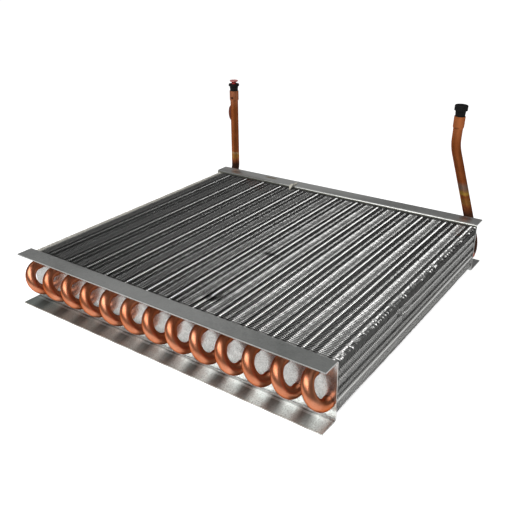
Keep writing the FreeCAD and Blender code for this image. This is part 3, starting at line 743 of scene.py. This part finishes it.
def buildFins():
    flat, faces, rim = finTemplate()
    x, z = flat[:, 0], flat[:, 1]
    raised, resting = finShifts(flat)
    low, high = finBox
    atTop = z > high.z - fins["weld"]
    atEnd = x > high.x - fins["weld"]
    bevel = np.stack([atEnd, 0 * x, atTop], axis=1) * fins["edgeBevel"]
    halfGauge = (0, fins["gauge"] / 2, 0)
    number = len(flat)
    print("fin template:", number, "points,", len(faces), "triangles,", len(rim), "rim edges,",
          2 * (len(faces) + len(rim)), "triangles in each closed fin")
    facesOfOne = list(faces)
    facesOfOne += [tuple(number + i for i in reversed(face)) for face in faces]
    facesOfOne += [(b, a, number + a, number + b) for a, b in rim]

    edge, crushed, fringe = fins["unevenEdge"], fins["crushed"], fins["fringe"]
    nearTop = fadeIn(z, high.z - edge["depth"], high.z)
    nearEdge = fadeIn(z, high.z - fins["topWaveDepth"], high.z)
    nearHang = fadeIn(z, low.z + fins["hangDepth"], low.z) * fadeIn(x, *fins["hangFrom"])
    crushFrom, (under, over) = crushed["from"], crushed["below"]
    nearCrushed = fadeIn(x, crushFrom, crushFrom + crushed["along"]) * fadeIn(z, high.z - under, high.z - over)
    tipped = fadeIn(x, crushFrom, crushFrom + crushed["leanAlong"]) * fadeIn(high.x - x, *crushed["leanEnd"])
    fringed = np.clip(fringe["x"][-1] - x, 0, 1)
    edgeX, edgeStep, edgeZ = edge["noise"]
    crushX, crushStep, crushZ = crushed["noise"]
    rng = random.Random(fins["seed"])
    firstY = low.y + (high.y - low.y - (fins["count"] - 1) * fins["pitch"]) / 2
    shares = [round(i * fins["count"] / fins["pieces"]) for i in range(fins["pieces"] + 1)]
    made = []
    for piece, (start, end) in enumerate(zip(shares, shares[1:]), start=1):
        points, everyFace = [], []
        for fin in range(start, end):
            fromPlate = min(fin, fins["count"] - 1 - fin)
            swell = min(1.0, fins["swell"][0] + fins["swell"][1] * fromPlate)
            y0 = firstY + fin * fins["pitch"]
            if fromPlate > 1:
                y0 += rng.uniform(-1, 1) * fins["unevenPitch"]
            crimp = 1 + rng.uniform(-1, 1) * fins["unevenRipple"]
            crimp *= np.interp(y0, (low.y, high.y), fins["crimp"])
            uneven = noiseAt((px / edgeX, fin * edgeStep, pz / edgeZ) for px, pz in flat)
            y = y0 + (raised * crimp + resting) * swell + uneven * edge["shift"] * nearTop * swell
            knocked = noiseAt((px / crushX, fin * crushStep, crushZ) for px, _ in flat)
            y += knocked * nearCrushed * crushed["shift"]
            lean = rng.uniform(*crushed["lean"]) * np.interp(y0, (low.y, high.y), crushed["leanShares"])
            y += tipped * nearEdge * lean
            y += fringed * nearEdge * rng.uniform(-1, 1) * fringe["uneven"]
            hang = np.interp(y0, *zip(*fins["bottomHang"]))
            hang += rng.uniform(-1, 1) * fins["bottomRagged"]
            placed = np.stack([x, y, z - nearHang * hang], axis=1)
            for centre, reach, push in fins["dents"]:
                away = ((placed - centre) / reach) ** 2
                strength = rng.uniform(*fins["dentStrength"])
                placed = placed + np.exp(-away.sum(axis=1))[:, None] * np.array(push) * strength
            first = len(points)
            points.extend((placed - bevel - halfGauge).tolist())
            points.extend((placed + halfGauge).tolist())
            everyFace.extend(tuple(first + i for i in face) for face in facesOfOne)
        fin = addMesh("fins_%d" % piece, points, everyFace, finAluminium)
        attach(fin, "root")
        made.append(fin)
    for fin in made:
        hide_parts("fin_pack")
    print("fins built")


buildFins()

# Rings round tubes: the fins' collars, and the braze run into the bells' mouths, with its radius and Y
collars = {"inner": 4.79, "outer": 5.0, "sides": 20}
brazeRings = {
    "profile": ((4.8, 1.1), (4.95, 0.75), (5.2, 0.3), (5.32, 0.0), (5.32, -0.5), (5.0, -0.5), (4.8, 0.2)),
    "sides": 28,
    "mouth": 143.63,
}


def addRing(axisX, axisZ, profile, sides, points, faces):
    # A closed profile of radius and Y, turned about a line along Y
    first = len(points)
    for radius, y in profile:
        for i in range(sides):
            turn = 2 * math.pi * i / sides
            points.append((axisX + radius * math.cos(turn), y, axisZ + radius * math.sin(turn)))
    for ring in range(len(profile)):
        after = (ring + 1) % len(profile)
        for i in range(sides):
            beside = (i + 1) % sides
            faces.append((first + after * sides + i, first + after * sides + beside,
                          first + ring * sides + beside, first + ring * sides + i))


tubeAxes = [(fins["firstTube"] + shift + tube * fins["tubePitch"], height)
            for shift, height in fins["rows"] for tube in range(fins["tubesPerRow"])]
collarProfile = [(collars["outer"], finBox[0].y), (collars["outer"], finBox[1].y),
                 (collars["inner"], finBox[1].y), (collars["inner"], finBox[0].y)]
brazeProfile = [(radius, brazeRings["mouth"] + along) for radius, along in brazeRings["profile"]]
for name, profile, sides, material, slot in (
    ("fin_collars", collarProfile, collars["sides"], collarAluminium, "fins"),
    ("braze_rings", brazeProfile[::-1], brazeRings["sides"], brazeAlloy, "copper"),
):
    points, faces = [], []
    for axisX, axisZ in tubeAxes:
        addRing(axisX, axisZ, profile, sides, points, faces)
    rings = addMesh(name, points, faces, material, smooth=True)
    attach(rings, "root")
    if slot == "fins":
        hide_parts("fin_pack")
print("rings built")

# The thin bulge at the inlet riser's side: its middle, half sizes and the way that it stands out
bulge = {"centre": (-159.6, 158.9, 120.4), "out": 3.4, "thick": 1.1, "high": 9.5, "turn": 216.3,
         "sides": 14, "rings": 12}
bulgeLook = {"Metallic": 0.6, "Roughness": 0.4, "Base Color": (0.24, 0.075, 0.05, 1)}
points, faces = [], []
turn = math.radians(bulge["turn"])
middleX, middleY, middleZ = bulge["centre"]
for ring in range(1, bulge["rings"]):
    slope = math.pi * ring / bulge["rings"]
    for i in range(bulge["sides"]):
        around = 2 * math.pi * i / bulge["sides"]
        out = bulge["out"] * math.sin(slope) * math.cos(around)
        across = bulge["thick"] * math.sin(slope) * math.sin(around)
        points.append((middleX + out * math.cos(turn) - across * math.sin(turn),
                       middleY + out * math.sin(turn) + across * math.cos(turn),
                       middleZ + bulge["high"] * math.cos(slope)))
sides, last = bulge["sides"], len(points)
points += [(middleX, middleY, middleZ + bulge["high"]), (middleX, middleY, middleZ - bulge["high"])]
for i in range(sides):
    beside = (i + 1) % sides
    faces.append((last, i, beside))
    faces.append((last + 1, last - sides + beside, last - sides + i))
    for first in range(0, last - sides, sides):
        faces.append((first + i, first + sides + i, first + sides + beside, first + beside))
side = addMesh("inlet_bulge", points, faces, newMaterial("bulge_copper", bulgeLook)[0], smooth=True)
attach(side, "root")

# A curl of old paint, caught between the fins and the rear plate's fold: middle line and half width
flakeLine = (
    ((-51.6, 126.5, 49.3), 0.5), ((-52.4, 129.0, 50.6), 1.3), ((-53.0, 132.0, 52.3), 1.9),
    ((-52.6, 134.5, 52.9), 1.6), ((-51.9, 137.5, 52.5), 1.1), ((-52.6, 141.0, 52.1), 1.5),
    ((-52.0, 144.3, 52.2), 0.7),
)
flakeLook = {
    "gauge": 0.25,
    "lift": 0.3,  # of its two sides, as a share of the half width
    "shader": {"Roughness": 0.6},
    "patchScale": 300.0, "grainScale": 2500.0, "contrast": 2.0,
    "dark": (0.5, 0.46, 0.36, 1), "light": (0.78, 0.76, 0.68, 1),
}
points, faces = [], []
for (x, y, z), width in flakeLine:
    for gauge in (0, flakeLook["gauge"]):
        for side in (-1, 0, 1):
            points.append((x + side * width, y, z + abs(side) * width * flakeLook["lift"] + gauge))
ring = (0, 1, 2, 5, 4, 3)
size = len(ring)
for first in range(0, size * (len(flakeLine) - 1), size):
    for a, b in zip(ring, ring[1:] + ring[:1]):
        faces.append((first + a, first + size + a, first + size + b, first + b))
last = size * (len(flakeLine) - 1)
faces += [(0, 1, 4, 3), (1, 2, 5, 4)]
faces += [(last + 3, last + 4, last + 1, last), (last + 4, last + 5, last + 2, last + 1)]
flake = addMesh("paint_flake", points, faces, patchyFinish("paint_flake", flakeLook))
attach(flake, "root")
print("bulge and curl built")


def mirrorRays(tree, rays):
    return maths(tree, "MAXIMUM", rays["Is Glossy Ray"], rays["Is Transmission Ray"])


# The floor glows for the camera, and near the coil for what mirrors it
floorLook = {"half": 30000.0, "height": -0.2, "shader": {"Roughness": 0.7, "Base Color": (0.86, 0.86, 0.86, 1)},
             "glow": 0.8, "mirroredGlow": (0.48, 0.08), "glowReach": (200, 900)}
floor, tree, shader = newMaterial("studio_floor", floorLook["shader"])
rays = addNode(tree, "ShaderNodeLightPath").outputs
fromCoil = vectorMaths(tree, "LENGTH", objectPlace(tree))
mirrored = product(tree, mirrorRays(tree, rays),
                   rampAlong(tree, fromCoil, floorLook["glowReach"], floorLook["mirroredGlow"]))
seen = maths(tree, "MAXIMUM", product(tree, rays["Is Camera Ray"], floorLook["glow"]), mirrored)
glow = addNode(tree, "ShaderNodeEmission")
tree.links.new(seen, glow.inputs["Strength"])
both = addNode(tree, "ShaderNodeAddShader")
tree.links.new(shader.outputs[0], both.inputs[0])
tree.links.new(glow.outputs[0], both.inputs[1])
tree.links.new(both.outputs[0], tree.nodes["Material Output"].inputs["Surface"])
half, height = floorLook["half"], floorLook["height"]
corners = [(-half, -half, height), (half, -half, height), (half, half, height), (-half, half, height)]
ground = addMesh("floor", corners, [(0, 1, 2, 3)], floor)

# The surroundings are white to the camera, even to matt surfaces, and brighter upwards to what mirrors them
worldLook = {"rise": (0.0, 0.8), "levels": (0.06, 0.26), "diffuse": 0.3, "white": 1.0}
world = bpy.data.worlds.new("studio")
bpy.context.scene.world = world
world.use_nodes = True
tree = world.node_tree
backdrop = tree.nodes["Background"]
direction = axesOf(tree, addNode(tree, "ShaderNodeTexCoord").outputs["Generated"])
rays = addNode(tree, "ShaderNodeLightPath").outputs
level = ramp(tree, direction[2], worldLook["rise"], worldLook["levels"])
unseen = mixNumbers(tree, mirrorRays(tree, rays), worldLook["diffuse"], level)
strength = mixNumbers(tree, rays["Is Camera Ray"], unseen, worldLook["white"])
backdrop.inputs["Color"].default_value = (1, 1, 1, 1)
tree.links.new(strength, backdrop.inputs["Strength"])

# The lamp's and the camera's lengths are in metres, apart from the lens and its sensor
keyLamp = {"place": (0.01, -0.62, 0.72), "aim": (0.0, -0.1, 0.03), "size": (1.2, 0.5), "power": 6.5}
data = bpy.data.lights.new("key", "AREA")
data.shape = "RECTANGLE"
data.size, data.size_y = keyLamp["size"]
data.energy = keyLamp["power"]
light = bpy.data.objects.new("key", data)
light.location = keyLamp["place"]
towards = Vector(keyLamp["place"]) - Vector(keyLamp["aim"])
light.rotation_euler = towards.to_track_quat("Z", "Y").to_euler()
bpy.context.scene.collection.objects.link(light)

view = {
    "place": (0.334515, -0.468641, 0.303134),
    "azimuth": 36.28551,
    "elevation": 25.57478,
    "roll": -1.24893,
    "lens": 44.952,
    "sensor": 36.0,
    "nearest": 0.01,
}
turn, rise, roll = (math.radians(view[name]) for name in ("azimuth", "elevation", "roll"))
back = Vector((math.sin(turn) * math.cos(rise), -math.cos(turn) * math.cos(rise), math.sin(rise)))
right = Vector((math.cos(turn), math.sin(turn), 0))
up = back.cross(right)
rolledRight = right * math.cos(roll) + up * math.sin(roll)
rolledUp = up * math.cos(roll) - right * math.sin(roll)
lens = bpy.data.cameras.new("camera")
lens.lens = view["lens"]
lens.sensor_width = view["sensor"]
lens.clip_start = view["nearest"]
camera = bpy.data.objects.new("camera", lens)
rotation = Matrix((rolledRight, rolledUp, back)).transposed().to_4x4()
camera.matrix_world = Matrix.Translation(view["place"]) @ rotation
bpy.context.scene.collection.objects.link(camera)
bpy.context.scene.camera = camera
bpy.context.scene.view_settings.view_transform = "Standard"
print("floor, light and camera ready")
